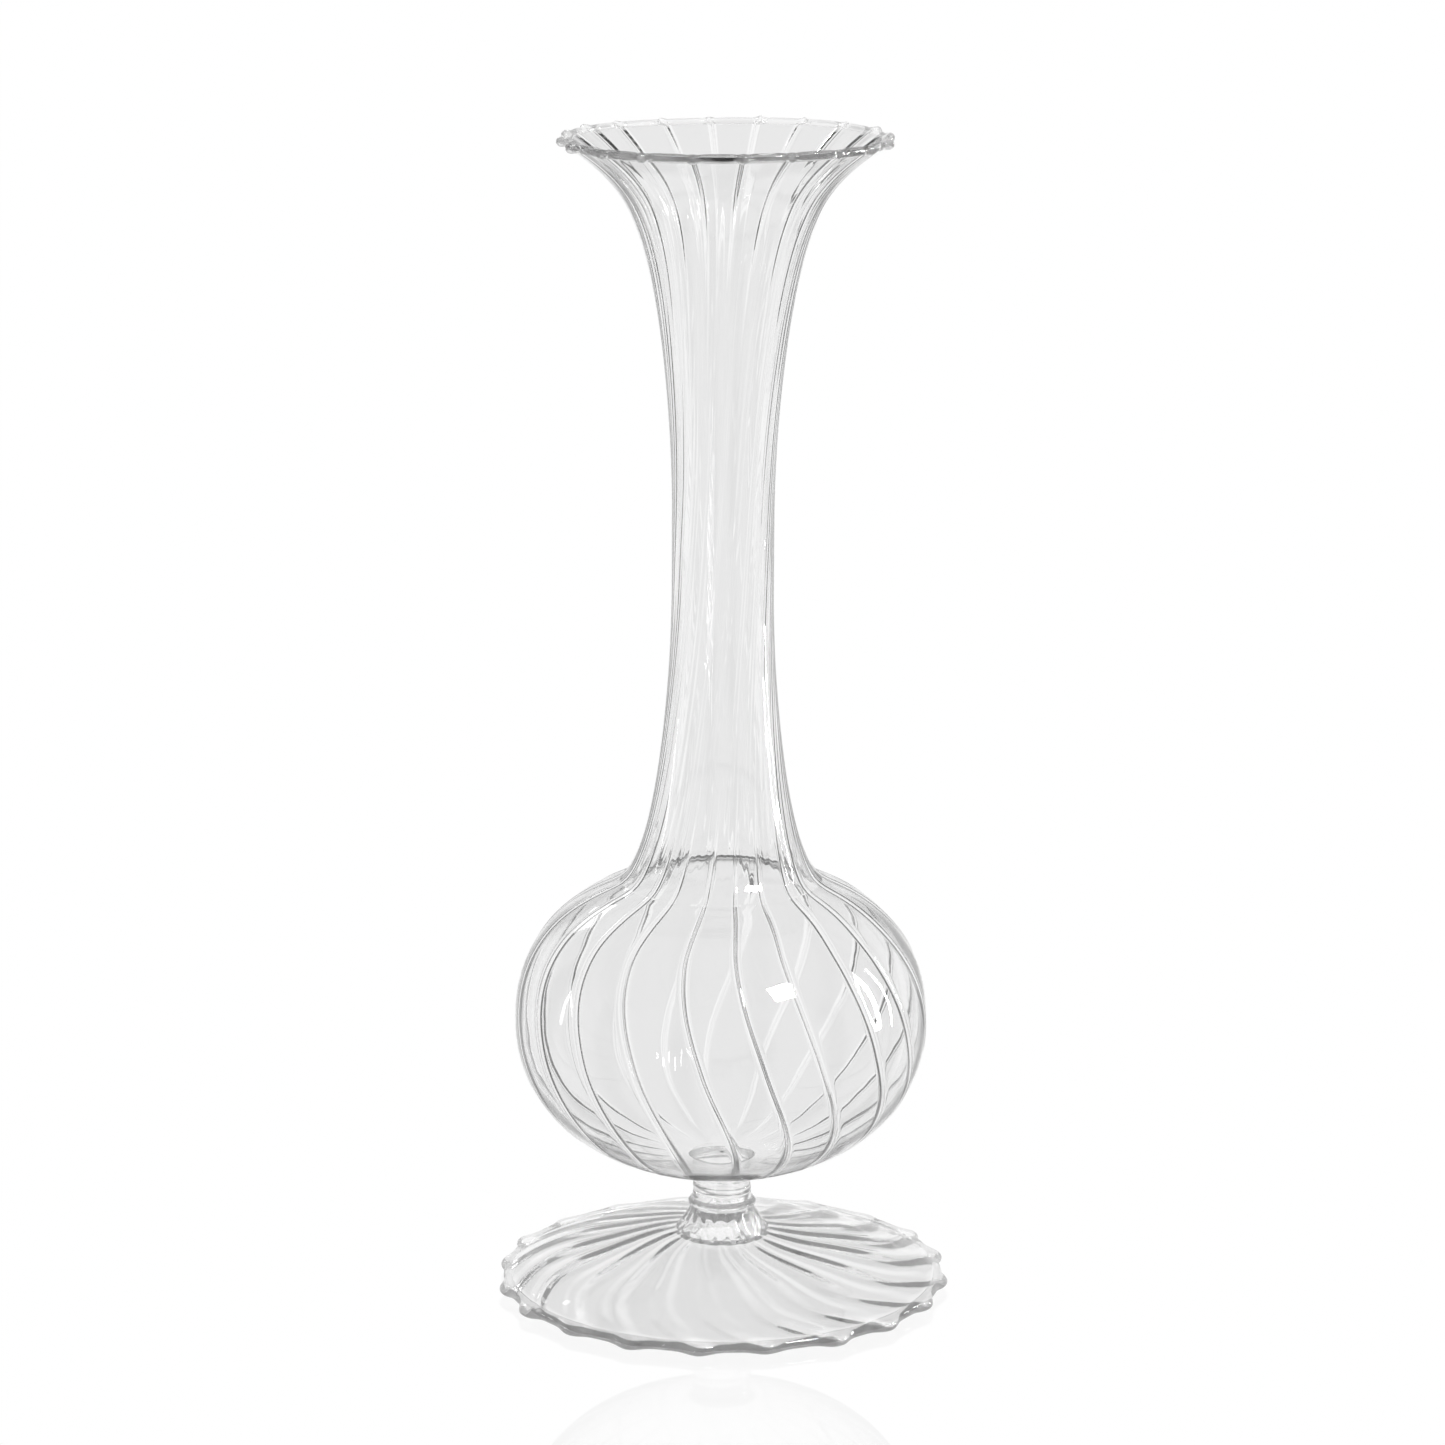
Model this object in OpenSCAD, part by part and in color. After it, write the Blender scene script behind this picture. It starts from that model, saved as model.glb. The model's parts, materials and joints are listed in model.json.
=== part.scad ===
// Glass bud vase: trumpet mouth, long waisted neck, round ribbed bulb, short solid stem and a
// spread ribbed foot. Millimetres, +Z up. The origin is on the axis, on the surface it stands on.
// An azimuth of 0 faces -Y, and a positive azimuth turns towards +X.

/* [Overall] */
// Height from the table to the top of the lip
total_h = 254; // [244:1:266]
// Thickness of the blown wall
wall = 1.4; // [1.1:0.1:1.8]

/* [Mouth] */
// Radius from the axis to the middle of the lip thread
lip_r = 33.5; // [30:0.5:37]
// Radius of the fire-polished thread that ends the wall
lip_thread_r = 0.85; // [0.75:0.05:1.1]
// Radius of the nibs where the ribs run into the lip
lip_nib_r = 0.9; // [0.8:0.05:1.2]
// Height of the seam between the neck and the flared mouth
flare_z = 232; // [225:1:236]

/* [Neck] */
// Outer radius of the straight throat, the narrowest part
throat_r = 11; // [10:0.1:12.5]
// Height of the middle of the throat
throat_z = 165; // [158:1:172]
// Length of the straight throat
throat_len = 14; // [8:1:20]

/* [Bulb] */
// Outer radius of the bulb at its widest
bulb_r = 45.1; // [42:0.1:48]
// Half the height that the bulb would have without the neck
bulb_half_h = 34.3; // [33:0.1:36]
// Height of the widest part of the bulb
bulb_z = 61.2; // [61:0.1:64]
// Fullness of the bulb's outline: 2 is an ellipse, more is squarer
bulb_fullness = 2.2; // [2:0.05:2.4]
// Outer radius of the crease where the bulb meets the neck
shoulder_r = 21; // [19:0.5:23]

/* [Stem] */
// Radius of the solid stem
stem_r = 6.5; // [6:0.1:7.2]
// Radius of the ring between the stem and the foot
stem_ring_r = 7.3; // [7.3:0.1:8]
// Height of the middle of that ring
stem_ring_z = 18.8; // [18:0.1:19.5]
// Height of that ring
stem_ring_h = 2; // [1.6:0.1:2.4]

/* [Foot] */
// Radius from the axis to the middle of the foot's rim
foot_r = 47.3; // [44:0.1:50]
// Radius of the round rim that the vase stands on
foot_rim_r = 1.2; // [1.1:0.05:1.4]
// Height of the flat that is ground off the bottom of the rim
foot_flat = 0.1; // [0.05:0.05:0.2]
// Thickness of the foot's disc
foot_wall = 2; // [1.6:0.1:2.2]
// Height of the top of the disc, where it meets the collar
foot_rise = 12.6; // [11.5:0.1:13]
// Radius of the collar where it meets the disc
collar_r = 10.2; // [9.5:0.1:11]
// Radius of the beads where the foot's ribs run out over its rim
foot_bead_r = 1.15; // [1:0.05:1.2]

/* [Ribs] */
// Number of ribs round the vase, and round its foot
rib_count = 20; // [16:1:24]
// Width of a rib at its root
rib_w = 1.5; // [1.2:0.1:1.8]
// Height of a rib above the wall
rib_h = 0.55; // [0.4:0.05:0.7]
// Azimuth of one rib where the twist of the body is nothing
rib_start = 5; // [0:1:18]
// Azimuth of one rib at the foot's collar
foot_rib_start = -20; // [-36:1:0]

/* [Hidden] */

$fn = 96;
// Facets of a ring that beads are cut to, so that each bead keeps its true volume
ring_facets = 360;
clear_glass = [0.86, 0.91, 0.93, 0.45];
rib_glass = [0.62, 0.72, 0.76, 0.8];
lip_z = total_h - lip_thread_r;
// How far under the middle of the lip thread the flared wall ends
flare_under_lip = 0.25;
throat_top = throat_z + throat_len / 2;
throat_bottom = throat_z - throat_len / 2;
inner_throat_r = throat_r - wall;

// Upper neck and mouth: a slow swell and, near the lip, a quick flare
swell_up = 11;
flare_up = lip_r - throat_r - swell_up;
flare_power = 9;
// Lower neck: the same slow swell, and a quick flare into the bulb
swell_down = 7.2;
flare_down = shoulder_r - throat_r - swell_down;

// Twist of the body's ribs in degrees at some heights, and of the foot's ribs at some radii
body_twist = [[26, 17], [40, 17], [61, 7], [82, 0], [93, 3.5], [128, 17], [160, 32], [190, 43], [254, 55]];
foot_twist = [[9, 0], [25, 11], [38, 18], [50, 34]];

// How far a rib's root goes into the wall, so that the two meet all along
rib_root = 0.05;
// Share of a rib's width that is left at its crest
rib_crest = 0.4;
neck_steps = 12;
flare_steps = 10;
bulb_steps = 28;
foot_steps = 10;
collar_steps = 6;
// Lowest point of the bulb, and where its ribs fade out on its underside
bulb_bottom = bulb_z - bulb_half_h;
bulb_rib_end_r = 13;
// Solid glass at the bottom of the bulb, over the stem
bulb_floor = 2.6;
// How far outside the neck's opening the bulb's inner outline starts
shoulder_step = 0.6;

foot_rim_z = foot_rim_r - foot_flat;
collar_top = stem_ring_z - stem_ring_h / 2;
// How far the collar's top stands back from the ring, and how hollow the collar's side is: 1 is a cone
collar_step = 0.4;
collar_hollow = 1.2;
// The disc's top is a cone for most of its fall, and turns down for the rest by this power
foot_cone_share = 0.88;
foot_turn_power = 6;
// How far the disc's top edge sinks under the top of the rim
foot_edge_sink = 0.1;
// How far from the collar and from the rim the ribs of the foot start and end
foot_rib_off_collar = 1.2;
foot_rib_off_rim = 0.3;
foot_rib_from = collar_r + foot_rib_off_collar;
foot_rib_to = foot_r - foot_rim_r - foot_rib_off_rim;
// How far the foot's beads sit above the middle of its rim
foot_bead_lift = 0.2;

// ---- Curves ----

// A smooth curve through stations [x, value], level with its neighbours' slope at each one
function slope(s, i) =
    i == 0 || i == len(s) - 1 ? 0 : (s[i + 1][1] - s[i - 1][1]) / (s[i + 1][0] - s[i - 1][0]);
function span_at(s, x, i = 0) = i >= len(s) - 2 || x <= s[i + 1][0] ? i : span_at(s, x, i + 1);
function blend(s, i, h, t) =
    s[i][1] * (1 - t) * (1 - t) * (1 + 2 * t) + s[i + 1][1] * t * t * (3 - 2 * t)
    + h * (slope(s, i) * t * (1 - t) * (1 - t) - slope(s, i + 1) * t * t * (1 - t));
function smooth(s, x) =
    let (i = span_at(s, x), h = s[i + 1][0] - s[i][0]) blend(s, i, h, (x - s[i][0]) / h);

// Height of the bulb's outline at radius r, above its middle, for an outline grown by grow
function bulb_rise(r, grow = 0) =
    (bulb_half_h + grow) * pow(1 - pow(r / (bulb_r + grow), bulb_fullness), 1 / bulb_fullness);
shoulder_z = bulb_z + bulb_rise(shoulder_r);

// Outer radius of the mouth and neck at height z
function neck_r(z) =
    z > throat_top ? swollen(swell_up, flare_up, (z - throat_top) / (lip_z - throat_top))
    : z < throat_bottom ? swollen(swell_down, flare_down, (throat_bottom - z) / (throat_bottom - shoulder_z))
    : throat_r;
function swollen(swell, flare, x) = throat_r + swell * x * x + flare * pow(x, flare_power);

// The same wall's inner radius, which keeps the wall's true thickness where it leans
function neck_lean(z, reach = 0.1) = (neck_r(z + reach) - neck_r(z - reach)) / (2 * reach);
function inner_neck_r(z) = neck_r(z) - wall * sqrt(1 + pow(neck_lean(z), 2));

// Point of the bulb's outline at angle a above its middle, for an outline grown by grow
function bulb_point(a, grow = 0) = [
    (bulb_r + grow) * pow(abs(cos(a)), 2 / bulb_fullness),
    bulb_z + (bulb_half_h + grow) * sign(a) * pow(abs(sin(a)), 2 / bulb_fullness)
];
// Angle at which that outline comes to radius r
function bulb_angle(r, grow = 0) = acos(pow(r / (bulb_r + grow), bulb_fullness / 2));

// Height of the top of the foot's disc at radius r: nearly a cone, turned down at its edge
function foot_top(r) =
    let (x = (r - collar_r) / (foot_r - foot_rim_r - collar_r),
         fall = foot_rise - foot_rim_z - foot_rim_r + foot_edge_sink)
    foot_rise - fall * (foot_cone_share * x + (1 - foot_cone_share) * pow(x, foot_turn_power));

// Point on the body or the foot, from a radius, a height and an azimuth
function spot(r, z, azimuth) = [r * sin(azimuth), -r * cos(azimuth), z];
function steps(from, to, count) = [for (i = [0:count]) from + (to - from) * i / count];

neck_heights = concat(
    steps(shoulder_z, throat_bottom, neck_steps),
    steps(throat_top, flare_z, neck_steps)
);
flare_heights = steps(flare_z, lip_z - flare_under_lip, flare_steps);
bulb_angles = steps(bulb_angle(shoulder_r), -90, bulb_steps);

// ---- Ribs ----

// Four corners of a rib's section at a path point [r, z], with its outward normal [nr, nz]
function rib_section(p, n, azimuth) =
    let (side = rib_w / 2 / p[0] * 180 / PI,
         root = p - rib_root * n,
         crest = p + rib_h * n)
    [
        spot(root[0], root[1], azimuth - side),
        spot(crest[0], crest[1], azimuth - side * rib_crest),
        spot(crest[0], crest[1], azimuth + side * rib_crest),
        spot(root[0], root[1], azimuth + side)
    ];

// Outward normal of a path of [r, z] points at point i, where the path runs downwards or inwards
function path_normal(path, i) =
    let (a = path[max(i - 1, 0)], b = path[min(i + 1, len(path) - 1)], d = (b - a) / norm(b - a))
    [-d[1], d[0]];

// One rib for each azimuth: a closed tube of four sides along the path, with twist[i] at point i
module ribs(path, twist, start) {
    count = len(path);
    sections = [for (k = [0:rib_count - 1]) for (i = [0:count - 1])
        rib_section(path[i], path_normal(path, i), start + twist[i] + k * 360 / rib_count)];
    points = [for (section = sections) for (corner = section) corner];
    sides = [for (k = [0:rib_count - 1]) for (i = [0:count - 2]) for (j = [0:3]) for (half = [0, 1])
        let (a = (k * count + i) * 4, b = a + 4, next = (j + 1) % 4)
        half == 0 ? [a + j, b + j, b + next] : [a + j, b + next, a + next]];
    ends = [for (k = [0:rib_count - 1]) for (last = [0, 1])
        let (a = (k * count + last * (count - 1)) * 4)
        last == 0 ? [a, a + 1, a + 2, a + 3] : [a + 3, a + 2, a + 1, a]];
    polyhedron(points = points, faces = concat(sides, ends), convexity = 10);
}

module body_ribs(path) {
    ribs(path, [for (p = path) smooth(body_twist, p[1])], rib_start);
}

// A path along the outside of the mouth and neck, from the top down
function neck_path(heights) = [for (i = [len(heights) - 1:-1:0]) [neck_r(heights[i]), heights[i]]];

// ---- Mouth ----

module lip_circle() {
    translate([lip_r, lip_z]) circle(lip_thread_r);
}

module lip_thread() {
    color(rib_glass) rotate_extrude() lip_circle();
}

// Round beads at the ends of the ribs, at radius r and height z, cut to the ring that they sit on
module beads(r, z, bead_r, azimuth) {
    difference() {
        for (k = [0:rib_count - 1])
            rotate(azimuth - 90 + k * 360 / rib_count) translate([r, 0, z]) sphere(bead_r);
        rotate_extrude($fn = ring_facets) children();
    }
}

// Nibs that stand out where the ribs end on the lip
module lip_nibs() {
    color(rib_glass)
        beads(lip_r + lip_thread_r, total_h - lip_nib_r, lip_nib_r, rib_start + smooth(body_twist, total_h))
            lip_circle();
}

// A wall between the outer and the inner outline of the mouth and neck
module neck_wall(heights) {
    outer = [for (z = heights) [neck_r(z), z]];
    inner = [for (i = [len(heights) - 1:-1:0]) [inner_neck_r(heights[i]), heights[i]]];
    polygon(concat(outer, inner));
}

module mouth_flare() {
    color(clear_glass) rotate_extrude() difference() {
        neck_wall(flare_heights);
        lip_circle();
    }
}

module mouth_ribs() {
    color(rib_glass) body_ribs(neck_path(flare_heights));
}

// ---- Neck ----

module neck() {
    color(clear_glass) difference() {
        rotate_extrude() neck_wall(neck_heights);
        translate([0, 0, throat_bottom]) cylinder(h = throat_len, r = inner_throat_r);
    }
}

module neck_ribs() {
    color(rib_glass) body_ribs(neck_path(neck_heights));
}

// ---- Bulb ----

// Hollow bulb, open at the shoulder into the neck, with a thick solid floor over the stem
module bulb() {
    outer = [for (a = bulb_angles) bulb_point(a)];
    opening_r = inner_neck_r(shoulder_z);
    inner_angles = steps(-90, bulb_angle(opening_r + shoulder_step, -wall), bulb_steps);
    inner = [for (a = inner_angles)
        let (p = bulb_point(a, -wall)) [p[0], max(p[1], bulb_bottom + bulb_floor)]];
    color(clear_glass) rotate_extrude() polygon(concat(outer, inner, [[opening_r, shoulder_z]]));
}

module bulb_ribs() {
    last = bulb_angle(bulb_rib_end_r);
    color(rib_glass) body_ribs([for (a = bulb_angles) if (a > -last) bulb_point(a)]);
}

// ---- Stem ----

module stem_ring() {
    color(rib_glass) rotate_extrude() {
        translate([0, collar_top]) square([stem_ring_r - stem_ring_h / 2, stem_ring_h]);
        intersection() {
            translate([stem_ring_r - stem_ring_h / 2, stem_ring_z]) circle(stem_ring_h / 2);
            translate([0, collar_top]) square([stem_ring_r, stem_ring_h]);
        }
    }
}

// Solid stem, hollowed at its top to the shape of the bulb that it holds
module stem() {
    foot_of_stem = stem_ring_z + stem_ring_h / 2;
    angles = [for (a = bulb_angles) if (a < -bulb_angle(stem_r)) a];
    seat = [for (a = angles) bulb_point(a)];
    color(clear_glass) rotate_extrude() polygon(concat(
        [[0, foot_of_stem], [stem_r, foot_of_stem], bulb_point(-bulb_angle(stem_r))],
        seat
    ));
}

// ---- Foot ----

// Solid collar that spreads from the ring to the disc in a slightly hollow curve
module foot_collar() {
    under = foot_top(collar_r) - foot_wall;
    top_r = stem_ring_r - collar_step;
    spread = [for (x = steps(0, 1, collar_steps))
        [top_r + (collar_r - top_r) * pow(x, collar_hollow), collar_top + (foot_rise - collar_top) * x]];
    color(clear_glass) rotate_extrude() polygon(concat(
        [[0, collar_top]], spread, [[collar_r, under], [0, under]]
    ));
}

module foot_circle() {
    translate([foot_r, foot_rim_z]) circle(foot_rim_r);
}

module foot_disc() {
    radii = steps(collar_r, foot_r, foot_steps);
    over = [for (r = radii) [r, foot_top(min(r, foot_r - foot_rim_r))]];
    under = [for (i = [len(over) - 1:-1:0]) over[i] - [0, foot_wall]];
    color(clear_glass) rotate_extrude() difference() {
        polygon(concat(over, under));
        foot_circle();
    }
}

module foot_ribs() {
    path = [for (r = steps(foot_rib_to, foot_rib_from, foot_steps)) [r, foot_top(r)]];
    inward = [for (i = [len(path) - 1:-1:0]) path[i]];
    color(rib_glass) ribs(inward, [for (p = inward) smooth(foot_twist, p[0])], foot_rib_start);
}

// Round rim with a narrow ground flat, on which the vase stands
module foot_rim() {
    color(rib_glass) rotate_extrude() intersection() {
        foot_circle();
        square([foot_r + 2 * foot_rim_r, 3 * foot_rim_r]);
    }
}

// Beads where the ribs run out over the rim
module foot_beads() {
    color(rib_glass)
        beads(
            foot_r + foot_rim_r, foot_rim_z + foot_bead_lift, foot_bead_r,
            foot_rib_start + smooth(foot_twist, foot_r)
        ) foot_circle();
}

lip_thread();
lip_nibs();
mouth_flare();
mouth_ribs();
neck();
neck_ribs();
bulb();
bulb_ribs();
stem();
stem_ring();
foot_collar();
foot_disc();
foot_ribs();
foot_rim();
foot_beads();
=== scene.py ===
"""The looks of a clear glass bud vase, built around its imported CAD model.

Sizes are in millimetres and angles in degrees until a mesh, lamp or camera is made, which is in
metres. An azimuth of 0 faces -Y, the front, and a positive azimuth turns towards +X. The vase is
worked by hand, so its ribs, flutes and beads each stray a little, by sums of sines.
"""

import json
import math

import bpy
import numpy as np
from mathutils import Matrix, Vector


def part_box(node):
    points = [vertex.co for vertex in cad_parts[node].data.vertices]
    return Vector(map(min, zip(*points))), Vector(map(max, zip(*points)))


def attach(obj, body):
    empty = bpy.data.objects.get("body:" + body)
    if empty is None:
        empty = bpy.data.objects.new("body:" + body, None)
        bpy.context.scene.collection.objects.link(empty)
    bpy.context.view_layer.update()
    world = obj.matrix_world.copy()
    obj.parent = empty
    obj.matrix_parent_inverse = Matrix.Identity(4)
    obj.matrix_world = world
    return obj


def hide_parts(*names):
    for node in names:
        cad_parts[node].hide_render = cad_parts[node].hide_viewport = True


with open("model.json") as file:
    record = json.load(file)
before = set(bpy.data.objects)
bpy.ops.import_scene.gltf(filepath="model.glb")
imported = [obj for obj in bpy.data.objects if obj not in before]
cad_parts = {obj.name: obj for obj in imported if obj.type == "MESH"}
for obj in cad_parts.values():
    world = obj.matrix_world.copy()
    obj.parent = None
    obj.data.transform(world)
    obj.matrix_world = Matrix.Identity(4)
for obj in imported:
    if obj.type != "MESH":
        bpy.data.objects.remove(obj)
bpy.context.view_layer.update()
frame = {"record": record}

MM = 0.001
RIBS = 20
PITCH = 360 / RIBS


# ---- Measures from the frame ----

def box_mm(node):
    """Lowest and highest corner of a CAD node, in millimetres."""
    low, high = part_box(node)
    return low / MM, high / MM


def mount(name):
    """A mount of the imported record, by name."""
    return next(m for m in frame["record"]["mounts"] if m["name"] == name)


# Thickness of the wall, as in the CAD
WALL = 1.4
lip_low, lip_high = box_mm("lip_thread")
THREAD_R = (lip_high.z - lip_low.z) / 2
LIP_R = lip_high.x - THREAD_R
LIP_Z = lip_high.z - THREAD_R
FLARE_Z = box_mm("mouth_flare")[0].z

throat = mount("throat")
THROAT_R = throat["dims"]["r_mm"] + WALL
THROAT_TOP = throat["pos_m"][2] / MM + throat["dims"]["length_mm"] / 2
THROAT_BOTTOM = THROAT_TOP - throat["dims"]["length_mm"]

neck_low, neck_high = box_mm("neck")
SHOULDER_Z = neck_low.z
SHOULDER_R = neck_high.x
bulb_low, bulb_high = box_mm("bulb")
BULB_R = bulb_high.x
BULB_FULLNESS = 2.2
# Part of the bulb's half height that is over its middle where the neck's crease is
crease = (1 - (SHOULDER_R / BULB_R) ** BULB_FULLNESS) ** (1 / BULB_FULLNESS)
BULB_HALF_H = (SHOULDER_Z - bulb_low.z) / (1 + crease)
BULB_Z = bulb_low.z + BULB_HALF_H

STEM_R = box_mm("stem")[1].x
# The stem spreads into the bulb with a round fillet
STEM_FILLET = 1.4
STEM_TOP_R = STEM_R + STEM_FILLET
ring_low, ring_high = box_mm("stem_ring")
RING_R = ring_high.x
# Where the ring meets the collar it is a little slimmer than at its crest
RING_NECK_R = RING_R - 0.5
collar_low, collar_high = box_mm("foot_collar")
COLLAR_R = collar_high.x
FOOT_RISE = box_mm("foot_disc")[1].z
FOOT_WALL = FOOT_RISE - collar_low.z
rim_high = box_mm("foot_rim")[1]
RIM_R = rim_high.z / 2
FOOT_R = rim_high.x - RIM_R
BEAD_REACH = box_mm("foot_beads")[1].x - rim_high.x


# ---- Curves ----

def smooth(stations, x):
    """A smooth curve through [x, value] stations, level at both ends."""
    places, values = np.array(stations, float).T
    slopes = np.zeros(len(places))
    slopes[1:-1] = (values[2:] - values[:-2]) / (places[2:] - places[:-2])
    x = np.clip(x, places[0], places[-1])
    i = np.clip(np.searchsorted(places, x) - 1, 0, len(places) - 2)
    span = places[i + 1] - places[i]
    t = (x - places[i]) / span
    return (values[i] * (1 - t) ** 2 * (1 + 2 * t) + values[i + 1] * t ** 2 * (3 - 2 * t)
            + span * (slopes[i] * t * (1 - t) ** 2 - slopes[i + 1] * t ** 2 * (1 - t)))


def step(x, start, end):
    """0 before start, 1 after end, and a smooth rise between them."""
    t = np.clip((x - start) / (end - start), 0, 1)
    return t * t * (3 - 2 * t)


def stray(seed, index):
    """A number from -1 to 1 that differs for each index, the same in every run."""
    index = np.asarray(index)
    return np.sin(12.9898 * (index + 1) + 78.233 * seed) * np.cos(4.1 * index + seed)


# Azimuth that the ribs have turned by at some heights of the body, and at some radii of the foot
BODY_TWIST = [[26, 17], [40, 17], [61, 7], [82, 0], [93, 3.5], [128, 17], [160, 32], [190, 43], [254, 55]]
FOOT_TWIST = [[9, 0], [25, 11], [38, 18], [50, 34]]
RIB_START = 5
FOOT_RIB_START = -20
# The axis of a hand-made vase isn't quite straight: how far it stands off to +X at some heights
LEAN = [[0, 0], [61, -0.4], [165, 0.1], [254, 0.7]]

# Up and down from the throat, the neck widens slowly by this much and the rest in a quick flare
SWELL_UP = 11
SWELL_DOWN = 7.2
FLARE_POWER = 9

# The foot falls mostly as a cone; the rest is a turn down close to its edge
FOOT_CONE_SHARE = 0.88
FOOT_TURN_POWER = 6
FOOT_EDGE_SINK = 0.1


def neck_radius(z):
    """Outer radius of the neck and mouth at height z."""
    up = np.clip((z - THROAT_TOP) / (LIP_Z - THROAT_TOP), 0, None)
    down = np.clip((THROAT_BOTTOM - z) / (THROAT_BOTTOM - SHOULDER_Z), 0, None)
    return (THROAT_R + SWELL_UP * up ** 2 + (LIP_R - THROAT_R - SWELL_UP) * up ** FLARE_POWER
            + SWELL_DOWN * down ** 2 + (SHOULDER_R - THROAT_R - SWELL_DOWN) * down ** FLARE_POWER)


def bulb_outline(angle):
    """Points [r, z] of the bulb's outline at angles from its middle."""
    angle = np.radians(angle)
    r = BULB_R * np.abs(np.cos(angle)) ** (2 / BULB_FULLNESS)
    rise = np.sign(angle) * np.abs(np.sin(angle)) ** (2 / BULB_FULLNESS)
    return np.stack([r, BULB_Z + BULB_HALF_H * rise], axis=-1)


def bulb_angle(r):
    """Angle at which the bulb's outline comes to radius r."""
    return math.degrees(math.acos((r / BULB_R) ** (BULB_FULLNESS / 2)))


def foot_top(r):
    """Height of the top of the foot's disc at radius r: nearly a cone, turned down at its edge."""
    x = np.clip((r - COLLAR_R) / (FOOT_R - RIM_R - COLLAR_R), 0, 1)
    fall = FOOT_RISE - 2 * RIM_R + FOOT_EDGE_SINK
    return FOOT_RISE - fall * (FOOT_CONE_SHARE * x + (1 - FOOT_CONE_SHARE) * x ** FOOT_TURN_POWER)


def lengths_along(path):
    """Distance along a path of [r, z] points at each of its points."""
    return np.concatenate([[0], np.cumsum(np.hypot(*np.diff(path, axis=0).T))])


def at_lengths(path, lengths):
    """Points of a path at distances along it."""
    along = lengths_along(path)
    return np.stack([np.interp(lengths, along, path[:, i]) for i in (0, 1)], axis=-1)


def soften(path, reach):
    """The same path with its creases rounded over about reach, and its ends kept."""
    spacing = 0.1
    total = lengths_along(path)[-1]
    fine = at_lengths(path, np.arange(0, total, spacing))
    # Past three reaches the weights have died away
    offsets = np.arange(-3 * reach, 3 * reach + spacing, spacing)
    weights = np.exp(-(offsets / reach) ** 2)
    weights /= weights.sum()
    pad = len(offsets) // 2
    before = 2 * fine[0] - fine[pad:0:-1]
    after = 2 * fine[-1] - fine[-2:-pad - 2:-1]
    padded = np.concatenate([before, fine, after])
    return np.stack([np.convolve(padded[:, i], weights, "valid") for i in (0, 1)], axis=-1)


def outward(path):
    """Unit normals of a path that runs down the outside, pointing away from the glass."""
    along = np.gradient(path, axis=0)
    along /= np.hypot(along[:, 0], along[:, 1])[:, None]
    return np.stack([-along[:, 1], along[:, 0]], axis=-1)


# ---- Meshes ----

def place(r, z, azimuth):
    """Points from radii, heights and azimuths, on the vase's leaning axis."""
    turn = np.radians(azimuth)
    return np.stack([r * np.sin(turn) + smooth(LEAN, z), -r * np.cos(turn), z + 0 * turn], axis=-1)


def on_axis(z):
    """The point of the vase's leaning axis at height z."""
    return [smooth(LEAN, z), 0, z]


def between_rings(first, second, columns):
    """Quads that join the ring of points from index first to the ring from index second."""
    here = np.arange(columns)
    after = (here + 1) % columns
    return np.stack([first + here, second + here, second + after, first + after], axis=-1).tolist()


def fan(pole, ring, columns, upwards):
    """Triangles that close a ring of points with the point pole."""
    here = np.arange(columns)
    after = (here + 1) % columns
    order = (here, after) if upwards else (after, here)
    return np.stack([np.full(columns, pole), ring + order[0], ring + order[1]], axis=-1).tolist()


def closed_piece(name, rings, seams=(), start_pole=None, end_pole=None):
    """A closed mesh through rings of points, which run down the outside and up the inside.

    Gap i lies between ring i and the next one; the gaps named in seams, and a pole whose name is
    there, are where the piece is fused to its neighbour, and take the invisible seam material.
    """
    columns = len(rings[0])
    points = np.concatenate(rings).tolist()
    faces, is_seam = [], []

    def add(new, seam):
        faces.extend(new)
        is_seam.extend([seam] * len(new))

    gaps = len(rings) if start_pole is None and end_pole is None else len(rings) - 1
    for i in range(gaps):
        add(between_rings(i * columns, (i + 1) % len(rings) * columns, columns), i in seams)
    if start_pole is not None:
        points.append(list(start_pole))
        add(fan(len(points) - 1, 0, columns, True), "start" in seams)
    if end_pole is not None:
        points.append(list(end_pole))
        add(fan(len(points) - 1, (len(rings) - 1) * columns, columns, False), "end" in seams)

    mesh = bpy.data.meshes.new(name)
    mesh.from_pydata((np.array(points) * MM).tolist(), [], faces)
    mesh.polygons.foreach_set("use_smooth", [not seam for seam in is_seam])
    mesh.polygons.foreach_set("material_index", [int(seam) for seam in is_seam])
    mesh.update()
    sharpen_seams(mesh)
    piece = bpy.data.objects.new(name, mesh)
    bpy.context.scene.collection.objects.link(piece)
    return piece


def sharpen_seams(mesh):
    """Marks the edges of the seams' faces as sharp, so that they don't bend the shading of the walls."""
    loop_edges = np.zeros(len(mesh.loops), int)
    mesh.loops.foreach_get("edge_index", loop_edges)
    sizes, is_seam = np.zeros(len(mesh.polygons), int), np.zeros(len(mesh.polygons), int)
    mesh.polygons.foreach_get("loop_total", sizes)
    mesh.polygons.foreach_get("material_index", is_seam)
    sharp = np.zeros(len(mesh.edges), bool)
    sharp[loop_edges[np.repeat(is_seam, sizes) == 1]] = True
    mesh.attributes.new("sharp_edge", "BOOLEAN", "EDGE").data.foreach_set("value", sharp)


def dress(piece, material, nodes):
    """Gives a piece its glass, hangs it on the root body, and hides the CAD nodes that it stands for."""
    piece.data.materials.append(material)
    piece.data.materials.append(seam_material())
    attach(piece, "root")
    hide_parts(*nodes)
    return piece


# ---- Ribs of the body ----

# Columns of points: across each rib, and over the panel between two ribs
ACROSS_RIB = np.linspace(-1, 1, 13)
OVER_PANEL = np.linspace(0, 1, 12)[1:-1]
COLUMNS_PER_RIB = len(ACROSS_RIB) + len(OVER_PANEL)
rib_index = np.repeat(np.arange(RIBS), COLUMNS_PER_RIB)
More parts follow.
